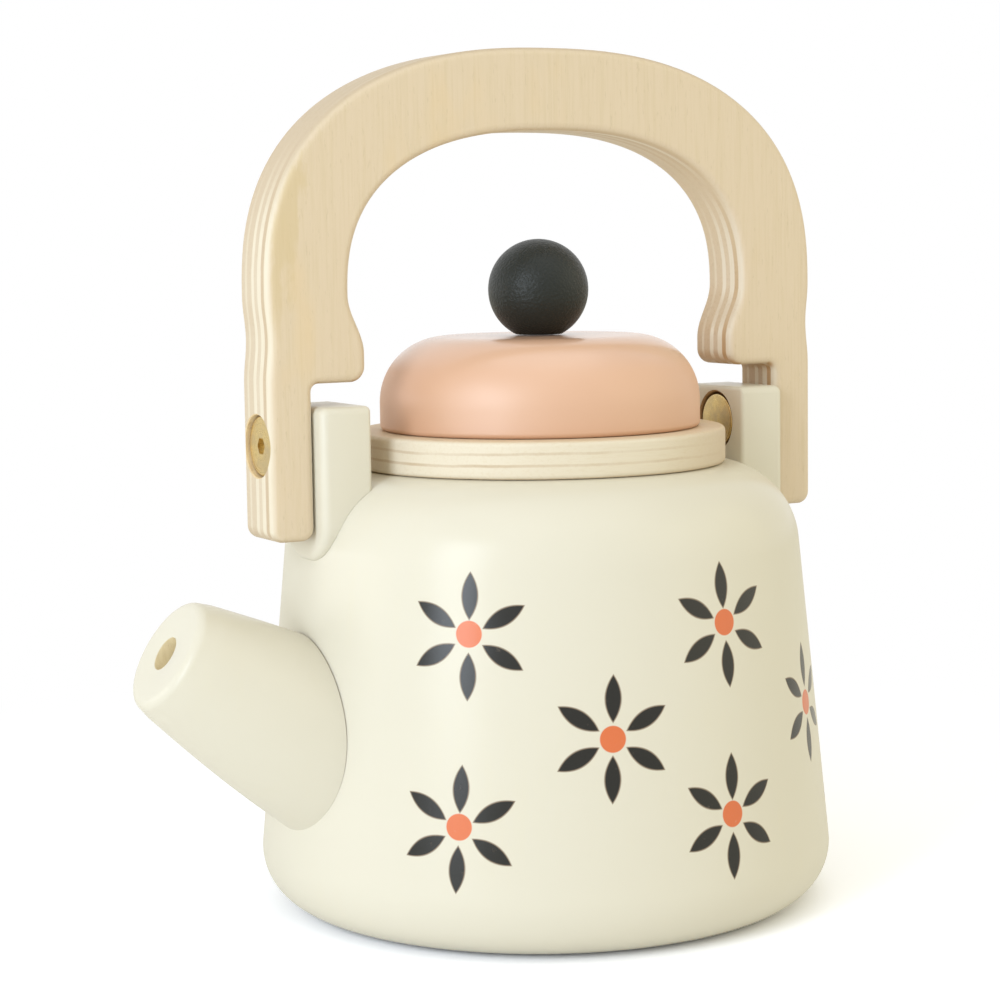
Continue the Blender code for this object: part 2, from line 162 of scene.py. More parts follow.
def paintFaces(piece, materialIndex, wanted):
    for face in piece.data.polygons:
        if wanted(face.center, face.normal):
            face.material_index = materialIndex


# Shader maths

class Wire:
    def __init__(self, tree, socket):
        self.tree = tree
        self.socket = socket

    def node(self, kind, settings=None, sockets=None, out=0):
        made = self.tree.nodes.new(kind)
        for key, value in (settings or {}).items():
            if key == "stops":
                ramp = made.color_ramp.elements
                while len(ramp) < len(value):
                    ramp.new(0.5)
                for element, (position, colour) in zip(ramp, value):
                    element.position = position
                    element.color = (*colour, 1)
            else:
                setattr(made, key, value)
        for key, value in (sockets or {}).items():
            if isinstance(value, Wire):
                self.tree.links.new(made.inputs[key], value.socket)
            else:
                made.inputs[key].default_value = value
        return Wire(self.tree, made.outputs[out])

    def maths(self, operation, *values):
        return self.node("ShaderNodeMath", {"operation": operation}, dict(enumerate(values)))

    def __add__(self, other):
        return self.maths("ADD", self, other)

    def __radd__(self, other):
        return self.maths("ADD", other, self)

    def __sub__(self, other):
        return self.maths("SUBTRACT", self, other)

    def __rsub__(self, other):
        return self.maths("SUBTRACT", other, self)

    def __mul__(self, other):
        return self.maths("MULTIPLY", self, other)

    def __rmul__(self, other):
        return self.maths("MULTIPLY", other, self)

    def __truediv__(self, other):
        return self.maths("DIVIDE", self, other)

    def __abs__(self):
        return self.maths("ABSOLUTE", self)

    def __lt__(self, other):
        return self.maths("LESS_THAN", self, other)

    def __gt__(self, other):
        return self.maths("GREATER_THAN", self, other)

    def axes(self):
        split = self.node("ShaderNodeSeparateXYZ", sockets={0: self}).socket.node
        return [Wire(self.tree, socket) for socket in split.outputs]

    def stretch(self, x, y, z):
        return self.node("ShaderNodeMapping", sockets={0: self, "Scale": (x, y, z)})

    def noise(self, scale, detail=3.0, rough=0.55):
        values = {"Vector": self, "Scale": scale, "Detail": detail, "Roughness": rough}
        return self.node("ShaderNodeTexNoise", sockets=values)

    def lineNoise(self, scale, detail):
        # noise along one value
        values = {"W": self, "Scale": scale, "Detail": detail}
        return self.node("ShaderNodeTexNoise", {"noise_dimensions": "1D"}, values)

    def between(self, low, high, first=0.0, last=1.0):
        # smooth step of a value from low to high
        values = {0: self, 1: low, 2: high, 3: first, 4: last}
        return self.node("ShaderNodeMapRange", {"interpolation_type": "SMOOTHSTEP"}, values)

    def blend(self, first, second):
        # self is the share of the second colour
        values = {0: self, 6: asColour(first), 7: asColour(second)}
        return self.node("ShaderNodeMix", {"data_type": "RGBA"}, values, out=2)


def asColour(value):
    return value if isinstance(value, Wire) else (*value, 1)


def newFinish(name, roughness, metallic=0.0, specular=0.5):
    material = bpy.data.materials.new(name)
    material.use_nodes = True
    tree = material.node_tree
    shader = tree.nodes["Principled BSDF"]
    shader.inputs["Roughness"].default_value = roughness
    shader.inputs["Metallic"].default_value = metallic
    shader.inputs["Specular IOR Level"].default_value = specular
    coords = tree.nodes.new("ShaderNodeTexCoord")
    return material, shader, Wire(tree, coords.outputs["Object"])


def feed(shader, socket, wire):
    wire.tree.links.new(shader.inputs[socket], wire.socket)


def feedBump(shader, height, distance):
    feed(shader, "Normal", height.node("ShaderNodeBump", sockets={"Height": height, "Distance": distance}))


# Cream paint and its printed flowers

creamLook = {
    "colour": (0.735, 0.703, 0.606),
    "thin": (0.76, 0.71, 0.54),  # where the paint runs thin
    "thinShare": 0.16,
    "roughness": 0.34,
    "specular": 0.03,
    "coat": 0.5,
    "printCoat": 0.45,  # what the print adds to the coat
    "coatRoughness": 0.24,
    "clouds": 38,
    "grain": (420, 420, 26),
    "pebbles": 620,
    "peel": 0.000012,  # height of the paint's peel
}
flowerLook = {
    "petals": 6,
    "petal": (0.008, 0.0075, 0.005),
    "petalFrom": 0.0032,
    "petalTo": 0.0115,
    "petalHalf": 0.00140,
    "fringe": (0.17, 0.10, 0.055),  # the petals' thin warm edge
    "fringeFrom": 2.8,  # in widths of the soft edge
    "fringeTo": 0.8,
    "fringeShare": 0.8,
    "eye": (0.71, 0.172, 0.058),
    "eyeRadius": 0.00245,
    "soft": 0.00012,
    "wobble": 0.01,  # how unevenly the flowers are turned
    "specks": 900,
    "speckShare": 0.35,
}
flowerRows = [  # first column's angle, step between columns, angles it runs between, heights, unevenness
    {"first": -134.95, "step": 54.75, "low": -162.3, "high": 166.2,
     "middle": 0.04272, "rise": 0.01753, "sag": 0.0002, "shear": 0.0007,
     "eyeUp": 0.0004, "tilt": 0.026, "split": 0.014},
    {"first": -106.1, "step": 56.5, "low": -134.3, "high": 148.1,
     "middle": 0.04138, "rise": 0.0, "sag": 0.0, "shear": 0.0,
     "eyeUp": 0.0, "tilt": 0.042, "split": 0.0},
]


def flowerMasks(coords):
    # how much of each point is petal, petal's fringe and flower's eye
    look = flowerLook
    soft = look["soft"]
    sector = math.tau / look["petals"]
    petalMiddle = (look["petalFrom"] + look["petalTo"]) / 2
    x, y, z = coords.axes()
    angle = z.maths("ARCTAN2", y, x)
    radius = z.maths("SQRT", x * x + y * y)
    petal, fringe, eye = 0.0, 0.0, 0.0
    for row in flowerRows:
        # each point's place in its own flower
        step = math.radians(row["step"])
        along = angle - math.radians(row["first"]) + step / 2
        column = z.maths("FLOOR", along / step)
        odd = z.maths("FLOORED_MODULO", column, 2.0)
        height = z - row["middle"] + odd * row["sag"]
        half = z.maths("SIGN", height)
        across = (z.maths("FLOORED_MODULO", along, step) - step / 2) * radius - half * row["shear"]
        up = height - half * (row["rise"] + odd * row["sag"])
        eyeUp = up - row["eyeUp"]
        inside = (angle > math.radians(row["low"])) * (angle < math.radians(row["high"]))
        # all petals folded on to one
        wobble = z.maths("SINE", column * 2.4) * look["wobble"]
        tilt = row["tilt"] - wobble - half * (odd * 2 + 1) * row["split"]
        reach = z.maths("SQRT", across * across + up * up)
        around = z.maths("ARCTAN2", up, across) + tilt
        fold = z.maths("FLOORED_MODULO", around, sector) - sector / 2
        outward = reach * z.maths("COSINE", fold)
        aside = abs(reach * z.maths("SINE", fold))
        share = (outward - petalMiddle) / (look["petalTo"] - petalMiddle)
        edge = (1 - share * share) * look["petalHalf"] - aside
        eyeReach = z.maths("SQRT", across * across + eyeUp * eyeUp)
        petal = petal + edge.between(-soft, soft) * inside
        fringe = fringe + edge.between(-look["fringeFrom"] * soft, -look["fringeTo"] * soft) * inside
        eye = eye + (look["eyeRadius"] - eyeReach).between(-soft, soft) * inside
    return petal, fringe, eye


def makeCream(name, printed):
    look, flower = creamLook, flowerLook
    material, shader, coords = newFinish(name, look["roughness"], specular=look["specular"])
    shader.inputs["Coat Weight"].default_value = look["coat"]
    shader.inputs["Coat Roughness"].default_value = look["coatRoughness"]
    cloud = coords.noise(look["clouds"])
    grain = coords.stretch(*look["grain"]).noise(1.0, 3, 0.6)
    thin = (cloud * 0.6 + grain * 0.4).between(0.50, 0.80, 0.0, look["thinShare"])
    colour = thin.blend(look["colour"], look["thin"])
    roughness = cloud.between(0.2, 0.8, look["roughness"] - 0.05, look["roughness"] + 0.06)
    if printed:
        petal, fringe, eye = flowerMasks(coords)
        wear = coords.noise(flower["specks"], 2).between(0.66, 0.78, 0.0, flower["speckShare"])
        colour = (fringe * flower["fringeShare"]).blend(colour, flower["fringe"])
        colour = (petal * (1 - wear * 0.5)).blend(colour, flower["petal"])
        colour = (eye * (1 - wear * 0.3)).blend(colour, flower["eye"])
        roughness = roughness + (petal + eye) * 0.05
        feed(shader, "Coat Weight", (petal + eye) * look["printCoat"] + look["coat"])
    feed(shader, "Base Color", colour)
    feed(shader, "Roughness", roughness)
    feedBump(shader, coords.noise(look["pebbles"], 2, 0.5) * 0.7 + grain * 0.3, look["peel"])
    return material


# Peach and charcoal paint

peachLook = {
    "colour": (0.693, 0.414, 0.271),
    "thin": (0.678, 0.40, 0.258),
    "roughness": 0.5,
    "specular": 1.0,
    "pebbles": 640,
    "peel": 0.000008,
    "polish": {"from": 0.1060, "to": 0.1100, "ior": 1.6, "roughness": 0.2},  # a coat over the lid's top
}
charcoalLook = {
    "colour": (0.013, 0.016, 0.014),
    "thin": (0.018, 0.021, 0.018),
    "roughness": 0.37,
    "specular": 0.29,
    "pebbles": 1900,
    "peel": 0.0002,
    "polish": None,
}


def makePaint(name, look):
    roughness, polish = look["roughness"], look["polish"]
    material, shader, coords = newFinish(name, roughness, specular=look["specular"])
    if polish:
        shader.inputs["IOR"].default_value = polish["ior"]
        shader.inputs["Coat Roughness"].default_value = polish["roughness"]
        feed(shader, "Coat Weight", coords.axes()[2].between(polish["from"], polish["to"]))
    cloud = coords.noise(45, 2)
    feed(shader, "Base Color", cloud.between(0.2, 0.9).blend(look["colour"], look["thin"]))
    feed(shader, "Roughness", cloud.between(0.2, 0.8, roughness - 0.03, roughness + 0.04))
    feedBump(shader, coords.noise(look["pebbles"], 2, 0.5), look["peel"])
    return material


# Plywood

plyLook = {
    "face": (0.712, 0.592, 0.442),
    "streak": (0.655, 0.54, 0.36),
    "fleck": (0.56, 0.46, 0.30),
    "stain": (0.74, 0.575, 0.35),
    "mark": (0.63, 0.50, 0.27),
    "long": (0.765, 0.69, 0.56),
    "end": (0.575, 0.45, 0.31),
    "archEnd": (0.63, 0.505, 0.335),
    "innerEnd": (0.48, 0.295, 0.140),
    "topEnd": (0.58, 0.47, 0.335),
    "pore": (0.44, 0.30, 0.17),
    "roughness": 0.5,
    "bump": 0.00004,
    "streaks": (2300, 69),  # scale across the grain and along it
    "flecks": (2600, 468),
    "stains": (60, 21.6),
    "pores": 1500,
    "glueLine": 0.14,  # half the soft line between two plies, in mm
}
handleMarks = {
    "markAt": (-0.0572, 0.138),  # one long mark at the left of the arch
    "markSize": (0.0034, 0.028),
    "markRagged": 3.2,
    "markShare": 0.5,
    "archCentre": 0.108,
    "inwardDarkTo": 0.104,  # the arch's inward faces take darker end grain, fully up to here
    "inwardDarkEnd": 0.138,
}
# thickness of each ply in mm, and how far its grain runs across
handlePlies = [  # from the photographed face back
    (1.8, 0.0), (1.4, 1.0), (1.6, 0.0), (1.6, 0.55), (1.2, 0.05),
    (2.2, 0.62), (0.8, 0.4), (1.9, 0.62), (1.0, 0.25),
]
ringPlies = [(2.15, 0.1), (0.6, 0.9), (1.6, 0.0), (0.6, 0.75), (2.05, 0.1)]  # from the lowest up
discPlies = [(1.2, 0.1), (1.2, 1.0), (1.2, 0.0), (1.2, 1.0), (1.2, 0.1)]
plyStart = {"handle": -0.00675, "ring": 0.0874, "disc": 0.0884}  # where the first ply begins


def crossGrain(coords, depth, plies):
    # how far the grain runs across, at a depth into the plies
    total = sum(thickness for thickness, across in plies)
    stops, at, soft = [], 0.0, plyLook["glueLine"]
    for thickness, across in plies:
        stops.append(((at + soft) / total, (across, across, across)))
        at += thickness
        stops.append(((at - soft) / total, (across, across, across)))
    waver = coords.noise(30, 2).between(0.2, 0.8, -0.22, 0.22)
    waver = waver + coords.noise(260, 2).between(0.2, 0.8, -0.05, 0.05)
    share = (depth * 1000 + waver) / total
    return share.node("ShaderNodeValToRGB", {"stops": stops}, {0: share})


def longMark(coords):
    # one long mark in the photographed face
    look = handleMarks
    x, y, z = coords.axes()
    along = (z - look["markAt"][1]) / look["markSize"][1]
    ragged = coords.stretch(420, 420, 130).noise(1.0, 4, 0.6) * look["markRagged"] - look["markRagged"] / 2
    off = (x - look["markAt"][0]) / look["markSize"][0] - along + ragged
    return (off * off + along * along).between(0.1, 1.0, look["markShare"], 0.0) * (y < 0.0)


def makePly(name, upright, start, plies):
    # upright plies stand along Y with upright face grain, others lie along Z with face grain along X
    look, marks = plyLook, handleMarks
    material, shader, coords = newFinish(name, look["roughness"])
    normal = Wire(coords.tree, coords.socket.node.outputs["Normal"])
    x, y, z = coords.axes()
    nx, ny, nz = normal.axes()
    height, facing = (y, ny) if upright else (z, nz)
    cross = crossGrain(coords, height - start, plies)

    def drawnOut(scales):
        across, along = scales
        return coords.stretch(across, across, along) if upright else coords.stretch(along, across, across)

    # the broad face: hair-fine streaks, short flecks and a few warm stains
    streak = drawnOut(look["streaks"]).noise(1.0, 3, 0.6)
    flecks = drawnOut(look["flecks"]).noise(1.0, 2, 0.5)
    stain = drawnOut(look["stains"]).noise(1.0, 3, 0.6)
    face = streak.between(0.40, 0.75, 0.0, 0.55).blend(look["face"], look["streak"])
    face = flecks.between(0.62, 0.76, 0.0, 0.4).blend(face, look["fleck"])
    face = stain.between(0.58, 0.76, 0.0, 0.55).blend(face, look["stain"])
    if upright:
        face = longMark(coords).blend(face, look["mark"])

    # the edges: end grain is darker and pored, long grain is pale and streaked
    if upright:
        endOn = abs(nz) * (1 - cross) + abs(nx) * cross
    else:
        # the cross plies' end grain fades out towards +X, part of the painted shade on that side of the
        # ring and disc
        endOn = cross * x.between(-0.03, 0.03, 1.0, 0.45) * coords.noise(70, 2).between(0.25, 0.7, 0.5, 1.0)
    inward = x * nx + (z - marks["archCentre"]) * nz < 0.0
    # inward faces get darker end grain, fully low on the arch and fading out higher up
    inwardDark = inward * z.between(marks["inwardDarkTo"], marks["inwardDarkEnd"], 1.0, 0.0)
    end = inwardDark.blend(inward.blend(look["end"], look["archEnd"]), look["innerEnd"])
    edge = endOn.between(0.15, 0.95).blend(look["long"], end)
    if upright:
        edge = nz.between(0.1, 0.7, 0.0, 0.75).blend(edge, look["topEnd"])
    else:
        # painted shade: the ring's and disc's edges turn darker towards +X
        edge = x.between(0.0, 0.036, 0.0, 0.9).blend(edge, look["end"])
    pores = coords.noise(look["pores"], 2).between(0.50, 0.72)
    edge = (pores * endOn * (inwardDark * 0.35 + 0.2)).blend(edge, look["pore"])
    edge = (streak.between(0.45, 0.8) * 0.30).blend(edge, look["streak"])

    flat = abs(facing).between(0.45, 0.97)
    feed(shader, "Base Color", flat.blend(edge, face))
    feed(shader, "Roughness", streak.between(0.2, 0.8, look["roughness"] - 0.06, look["roughness"] + 0.10))
    feedBump(shader, streak * 0.6 + flecks * 0.4 + endOn * (1 - flat) * -0.3, look["bump"])
    return material


# Bare wood and brass

# a paler copy of bare wood for the spout's hole: painted light against the hole's own shade
holeLitLook = {"pale": (0.80, 0.70, 0.47), "dark": (0.70, 0.59, 0.37), "pore": (0.42, 0.28, 0.14)}
bareLook = {"pale": (0.80, 0.65, 0.42), "dark": (0.68, 0.51, 0.30), "pore": (0.46, 0.31, 0.16)}
# raw wood darkened past bare wood: painted shade in the spout's joint and around the nut recesses
sawnShadeLook = {"pale": (0.46, 0.30, 0.15), "dark": (0.33, 0.19, 0.08), "pore": (0.16, 0.08, 0.03)}
brassLook = {
    "bright": (0.76, 0.59, 0.27),
    "dull": (0.56, 0.445, 0.25),
    "roughness": 0.30,
    "rings": 5200,
    "fan": 1.6,
    "clouds": 260,
    "bump": 0.00001,
}


def makeBareWood(name, look):
    material, shader, coords = newFinish(name, 0.62)
    streak = coords.stretch(700, 700, 40).noise(1.0, 4, 0.6)
    flecks = coords.stretch(1600, 1600, 160).noise(1.0, 2)
    colour = streak.between(0.3, 0.75).blend(look["pale"], look["dark"])
    colour = flecks.between(0.6, 0.75, 0.0, 0.5).blend(colour, look["pore"])
    feed(shader, "Base Color", colour)
    feedBump(shader, streak * 0.6 + flecks * 0.4, 0.00006)
    return material


def makeBrass(name, pivotHeight):
    look = brassLook
    material, shader, coords = newFinish(name, look["roughness"], metallic=1.0)
    x, y, z = coords.axes()
    up = z - pivotHeight
    turned = z.maths("SQRT", y * y + up * up).lineNoise(look["rings"], 2)
    fan = z.maths("ARCTAN2", up, y).lineNoise(look["fan"], 3)
    cloud = coords.noise(look["clouds"])
    dull = (fan * 0.2 + cloud * 0.8).between(0.35, 0.68)
    feed(shader, "Base Color", dull.blend(look["bright"], look["dull"]))
    feed(shader, "Roughness", (cloud * 0.5 + turned * 0.5).between(0.3, 0.7, 0.22, 0.42))
    feedBump(shader, turned + fan, look["bump"])
    return material


printedCream = makeCream("printed_cream", True)
cream = makeCream("cream", False)
peach = makePaint("peach", peachLook)
charcoal = makePaint("charcoal", charcoalLook)
holeLitWood = makeBareWood("hole_wood_painted_light", holeLitLook)
bareWood = makeBareWood("bare_wood", bareLook)
sawnShadeWood = makeBareWood("sawn_wood_and_shade", sawnShadeLook)
ringPly = makePly("ring_ply", False, plyStart["ring"], ringPlies)
discPly = makePly("disc_ply", False, plyStart["disc"], discPlies)
handlePly = makePly("handle_ply", True, plyStart["handle"], handlePlies)
print("finishes made")


# Body

bodyShape = {
    "height": 0.0872,
    "topRadius": 0.050,
    "baseRadius": 0.0585,
    "shoulder": 0.0165,
    "baseRound": 0.011,
    "baseMiddle": 0.006,
    "bore": 0.026,
    "boreRound": 0.0004,
    "floor": 0.015,
    "floorRound": 0.003,
    "roundSteps": 18,
    "turnSteps": 192,
}
jointGap = 0.00004  # how far what is glued to the body stands off it


def sideRadius(height):
    shape = bodyShape
    return shape["topRadius"] + (shape["baseRadius"] - shape["topRadius"]) * (1 - height / shape["height"])


def bodyOutside(grow):
    shape = bodyShape
    lean = math.atan2(shape["baseRadius"] - shape["topRadius"], shape["height"])
    slope = math.tan(lean)
    side = grow / math.cos(lean)
    return [
        (shape["topRadius"] + side - grow * slope, shape["height"] + grow, shape["shoulder"] + grow),
        (shape["baseRadius"] + side + grow * slope, -grow, shape["baseRound"] + grow),
    ]


def makeBody():
    shape = bodyShape
    bore, floor = shape["bore"], shape["floor"]
    corners = [(0, floor, 0), (bore, floor, shape["floorRound"])]
    corners += [(bore, shape["height"], shape["boreRound"])]
    corners += bodyOutside(0) + [(shape["baseMiddle"], 0, 0), (0, 0, 0)]
    body = turn("body", roundOff(corners, shape["roundSteps"]), shape["turnSteps"])
    dress(body, "kettle", ["kettle_body"], "cream_paint", printedCream, bareWood)

    def inBore(at, facing):
        return at.z > floor - 0.001 and math.hypot(at.x, at.y) < bore + 0.0002

    paintFaces(body, 1, inBore)
    return body


def makeBodyCutter(lean=0.0, about=0.0):
    # the body's outside, leaning about a height
    shape = bodyShape
    corners = [(0, shape["height"] + jointGap, 0)] + bodyOutside(jointGap) + [(0, -jointGap, 0)]
    cutter = turn("bodyCutter", roundOff(corners, shape["roundSteps"]), shape["turnSteps"])
    return place(cutter, (about * lean, 0, 0), (0, -lean, 0))


makeBody()
print("body turned")


# Ring, lid and knob

ringShape = {
    "radius": 0.037,
    "bore": 0.026,
    "low": 0.08724,
    "high": 0.0944,
    "round": 0.0009,
    "boreLowRound": 0.0003,
    "boreHighRound": 0.0005,
    "roundSteps": 6,
    "turnSteps": 160,
}
lidShape = {
    "radius": 0.032,
    "low": 0.09446,
    "high": 0.1128,
    "topRound": 0.013,
    "lowRound": 0.001,
    "roundSteps": 20,
    "turnSteps": 176,
}
discShape = {
    "radius": 0.0255,
    "low": 0.0884,
    "high": 0.0944,
    "round": 0.0008,
    "roundSteps": 6,
    "turnSteps": 144,
}
knobShape = {
    "radius": 0.010,
    "flat": 0.0046,
    "seat": 0.1130,
    "roundSteps": 40,
    "turnSteps": 96,
}


def makeRing():
    shape = ringShape
    low, high, edge = shape["low"], shape["high"], shape["round"]
    corners = [(shape["bore"], low, shape["boreLowRound"]), (shape["bore"], high, shape["boreHighRound"])]
    corners += [(shape["radius"], high, edge), (shape["radius"], low, edge)]
    points = roundOff(corners, shape["roundSteps"], 0.0002)
    ring = turn("ring", points + points[:1], shape["turnSteps"])
    return dress(ring, "kettle", ["rim_ring"], "birch_ply", ringPly)


def makeLid():
    shape = lidShape
    corners = [(0, shape["high"], 0), (shape["radius"], shape["high"], shape["topRound"])]
    corners += [(shape["radius"], shape["low"], shape["lowRound"]), (0, shape["low"], 0)]
    lid = turn("lid_top", roundOff(corners, shape["roundSteps"]), shape["turnSteps"])
    return dress(lid, "lid", ["lid"], "peach_paint", peach)


def makeDisc():
    shape = discShape
    corners = [(0, shape["high"], 0), (shape["radius"], shape["high"], 0)]
    corners += [(shape["radius"], shape["low"], shape["round"]), (0, shape["low"], 0)]
    disc = turn("lid_disc", roundOff(corners, shape["roundSteps"]), shape["turnSteps"])
    return dress(disc, "lid", ["lid_locating_disc"], "birch_ply", discPly)


def makeKnob():
    shape = knobShape
    radius, steps = shape["radius"], shape["roundSteps"]
    flatAngle = -math.acos(shape["flat"] / radius)
    centre = shape["seat"] - radius * math.sin(flatAngle)
    points = [(0, centre + radius)]
    for step in range(1, steps + 1):
        angle = math.pi / 2 + (flatAngle - math.pi / 2) * step / steps
        points.append((radius * math.cos(angle), centre + radius * math.sin(angle)))
    points.append((0, shape["seat"]))
    knob = turn("knob", points, shape["turnSteps"])
    return dress(knob, "lid", ["lid_knob", "knob_dowel"], "charcoal_paint", charcoal)


makeRing()
makeLid()
makeDisc()
makeKnob()
print("ring, lid and knob turned")


# Spout

spoutShape = {
    "rootHeight": 0.0395,
    "length": 0.0311,
    "pitch": math.radians(32),
    "rootRadius": 0.0158,
    "tipRadius": 0.0114,
    "belly": 0.0012,
    "tipRound": 0.002,
    "tipLead": 0.0003,
    "hole": 0.0033,
    "holeDepth": 0.008,
    "holeEnd": 0.0006,  # how far the hole's end is coned
    "lip": 0.0004,
    "jointLean": 0.010,  # the joint opens a hair towards its top
    "jointFoot": 0.022,
    "bellySteps": 30,
    "roundSteps": 12,
    "turnSteps": 144,
}


def spoutLine(holeEnd):
    # profile of (radius, distance along), from the hole's end over the tip to the tail
    shape = spoutShape
    length, hole, lip, tipRound = shape["length"], shape["hole"], shape["lip"], shape["tipRound"]
    taper = (shape["rootRadius"] - shape["tipRadius"]) / length
    points = [(0, holeEnd), (hole - shape["holeEnd"], holeEnd), (hole, holeEnd + lip)]
    points += [(hole, length - lip), (hole + lip / 4, length - lip / 4), (hole + lip, length)]
    points += [(shape["tipRadius"] - tipRound - shape["tipLead"], length)]
    start = length - tipRound
    for step in range(shape["roundSteps"] + 1):
        angle = math.pi / 2 + (math.atan(taper) - math.pi / 2) * step / shape["roundSteps"]
        across = shape["tipRadius"] - tipRound + tipRound * math.cos(angle)
        points.append((across, start + tipRound * math.sin(angle)))
    tail = -shape["rootRadius"] * (1 + math.sin(shape["pitch"]))
    for step in range(1, shape["bellySteps"] + 1):
        share = step / shape["bellySteps"]
        along = start + (tail - start) * share
        belly = shape["belly"] * math.sin(math.pi * share)
        points.append((shape["rootRadius"] - taper * along + belly, along))
    return points + [(0, tail)]


def makeSpout():
    shape = spoutShape
    pitch = shape["pitch"]
    holeEnd = shape["length"] - shape["holeDepth"]
    root = Vector((-sideRadius(shape["rootHeight"]), 0, shape["rootHeight"]))
    way = Vector((-math.cos(pitch), 0, math.sin(pitch)))
    spout = turn("spout_cone", spoutLine(holeEnd), shape["turnSteps"])
    place(spout, root, (0, pitch - math.pi / 2, 0))
    leaningCutter = makeBodyCutter(shape["jointLean"], shape["jointFoot"])
    cutAway(spout, leaningCutter)
    drop(leaningCutter)
    dress(spout, "kettle", ["spout"], "cream_paint", cream, holeLitWood, sawnShadeWood, smooth=35)

    def inHole(at, facing):
        off = at - root
        along = off.dot(way)
        return along > holeEnd - 0.0002 and (off - way * along).length < shape["hole"] + 0.0001

    def onJoint(at, facing):
        return abs(math.hypot(at.x, at.y) - sideRadius(at.z)) < 0.0008 and facing.x > 0.5

    # the hole takes the paler wood, painted light
    paintFaces(spout, 1, inHole)
    # the joint face is raw wood, darkened as painted shade in the joint's gap
    paintFaces(spout, 2, onJoint)
    return spout


makeSpout()
print("spout turned and coped")


# Lugs, nuts and bolts

lugShape = {
    "inner": 0.042,
    "outer": 0.0523,
    "width": 0.0196,
    "low": 0.0712,
    "high": 0.1010,
    "round": 0.0016,
    "fineRound": 0.0008,  # round the face by the lid
    "roundSteps": 6,
    "footRound": 0.0080,
    "footSteps": 14,
    "cutFrom": 0.040,
    "mouth": 0.0003,
}
pivotShape = {
    "height": 0.0937,
    "head": 0.0057,
    "thick": 0.0015,
    "sunk": 0.00085,
    "rim": 0.0003,
    "fineRound": 0.0001,
    "nutHead": 0.0055,
    "nutSunk": 0.0003,
    "barrel": 0.004,
    "barrelRound": 0.0002,
    "barrelGap": 0.0002,
    "shank": 0.003,
    "shankEnd": 0.0555,
    "shankOverlap": 0.0003,
    "socket": 0.003,
    "socketDepth": 0.0012,
    "recess": 0.0060,
    "recessDepth": 0.00245,
    "hole": 0.0041,
    "roundSteps": 5,
    "turnSteps": 72,
    "shankSteps": 48,
}
legInner, legOuter = 0.0526, 0.0614


def alongPivot(piece, side):
    return place(piece, (0, 0, pivotShape["height"]), (0, side * math.pi / 2, 0))


def inRecess(mouth):
    # picks the faces inside a pivot's recess, just within its mouth
    pivot = pivotShape

    def wanted(at, facing):
        off = math.hypot(at.y, at.z - pivot["height"])
        deep = abs(at.x - mouth)
        return off < pivot["recess"] + 0.0003 and 0.00008 < deep < pivot["recessDepth"] + 0.0001

    return wanted


def makeLug(name, side, node, bodyCutter):
    shape, pivot = lugShape, pivotShape
    inner, outer, low, high = shape["inner"], shape["outer"], shape["low"], shape["high"]
    near = 0.0001
    deselect()
    bpy.ops.mesh.primitive_cube_add(size=1)
    lug = bpy.context.object
    callIt(lug, name)
    lug.scale = (outer - inner, shape["width"], high - low)
    lug.location = (side * (inner + outer) / 2, 0, (low + high) / 2)
    bpy.ops.object.transform_apply(location=True, rotation=True, scale=True)

    def footEdge(first, second):
        under = max(first.z, second.z) < low + near
        return shape["footRound"] if under and abs(first.x - second.x) > near else 0.0

    def outlineEdge(first, second):
        reach = (abs(first.x), abs(second.x))
        if max(reach) < inner + near:
            return shape["fineRound"]
        if min(reach) > outer - near or min(first.z, second.z) > high - near:
            return shape["round"]
        return 0.0

    roundEdges(lug, shape["footRound"], shape["footSteps"], footEdge)
    roundEdges(lug, shape["round"], shape["roundSteps"], outlineEdge)
    recess, mouth, cutFrom = pivot["recess"], shape["mouth"], shape["cutFrom"]
    floor = inner + pivot["recessDepth"]
    line = [(0, floor), (recess, floor), (recess, inner + mouth), (recess + mouth, inner)]
    line += [(recess + mouth, cutFrom), (0, cutFrom)]
    cutter = alongPivot(turn("recessCutter", line, pivot["turnSteps"]), side)
    cutAway(lug, bodyCutter, cutter)
    drop(cutter)
    dress(lug, "kettle", [node], "cream_paint", cream, sawnShadeWood, smooth=35)
    # recess walls and rim are raw wood, darkened as painted shade of the recess
    paintFaces(lug, 1, inRecess(side * inner))
    return lug


def makeNut(name, side, node, brass):
    pivot = pivotShape
    fine = pivot["fineRound"]
    face = lugShape["inner"] + pivot["nutSunk"]
    back = lugShape["inner"] + pivot["sunk"] + pivot["thick"]
    end = legOuter - pivot["sunk"] - pivot["thick"] - pivot["barrelGap"]
    corners = [(0, face, 0), (pivot["nutHead"], face, pivot["rim"]), (pivot["nutHead"], back, fine)]
    corners += [(pivot["barrel"], back, 0), (pivot["barrel"], end, pivot["barrelRound"]), (0, end, 0)]
    nut = turn(name, roundOff(corners, pivot["roundSteps"], fine), pivot["turnSteps"])
    alongPivot(nut, side)
    return dress(nut, "kettle", [node], "brass", brass)


